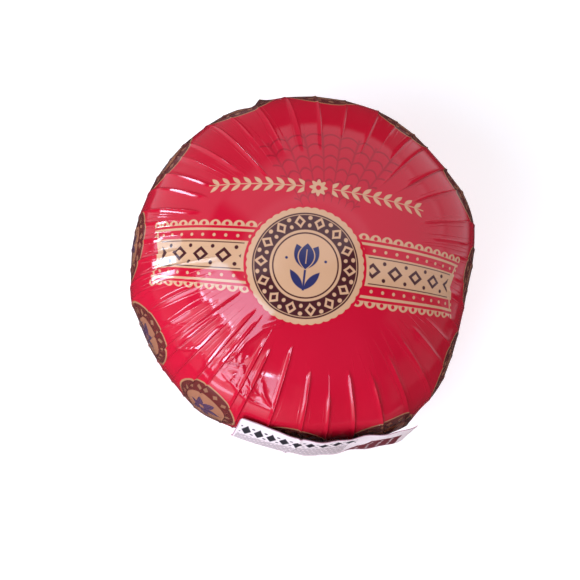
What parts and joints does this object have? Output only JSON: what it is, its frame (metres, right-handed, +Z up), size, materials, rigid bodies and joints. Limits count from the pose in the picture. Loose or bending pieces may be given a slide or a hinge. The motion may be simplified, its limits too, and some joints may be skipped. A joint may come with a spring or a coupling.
{
  "type": "wrapped ball of cheese",
  "caption": "Slightly flattened ball of cheese shut tight in glossy red pleated film, with a loose-ended paper label on its side, resting on a small flat spot.",
  "frame": {"origin": "middle of the flat spot that the ball rests on", "axes": "+Z up from the resting spot to the crown of the film, -Y out through the paper label, +X to the right as the label is read"},
  "size_m": [0.1479, 0.1537, 0.124],
  "materials": {
    "film": "gloss",
    "label_paper": "satin"
  },
  "bodies": {
    "root": {"wrapped_ball": "film", "side_label": "label_paper"}
  },
  "joints": []
}
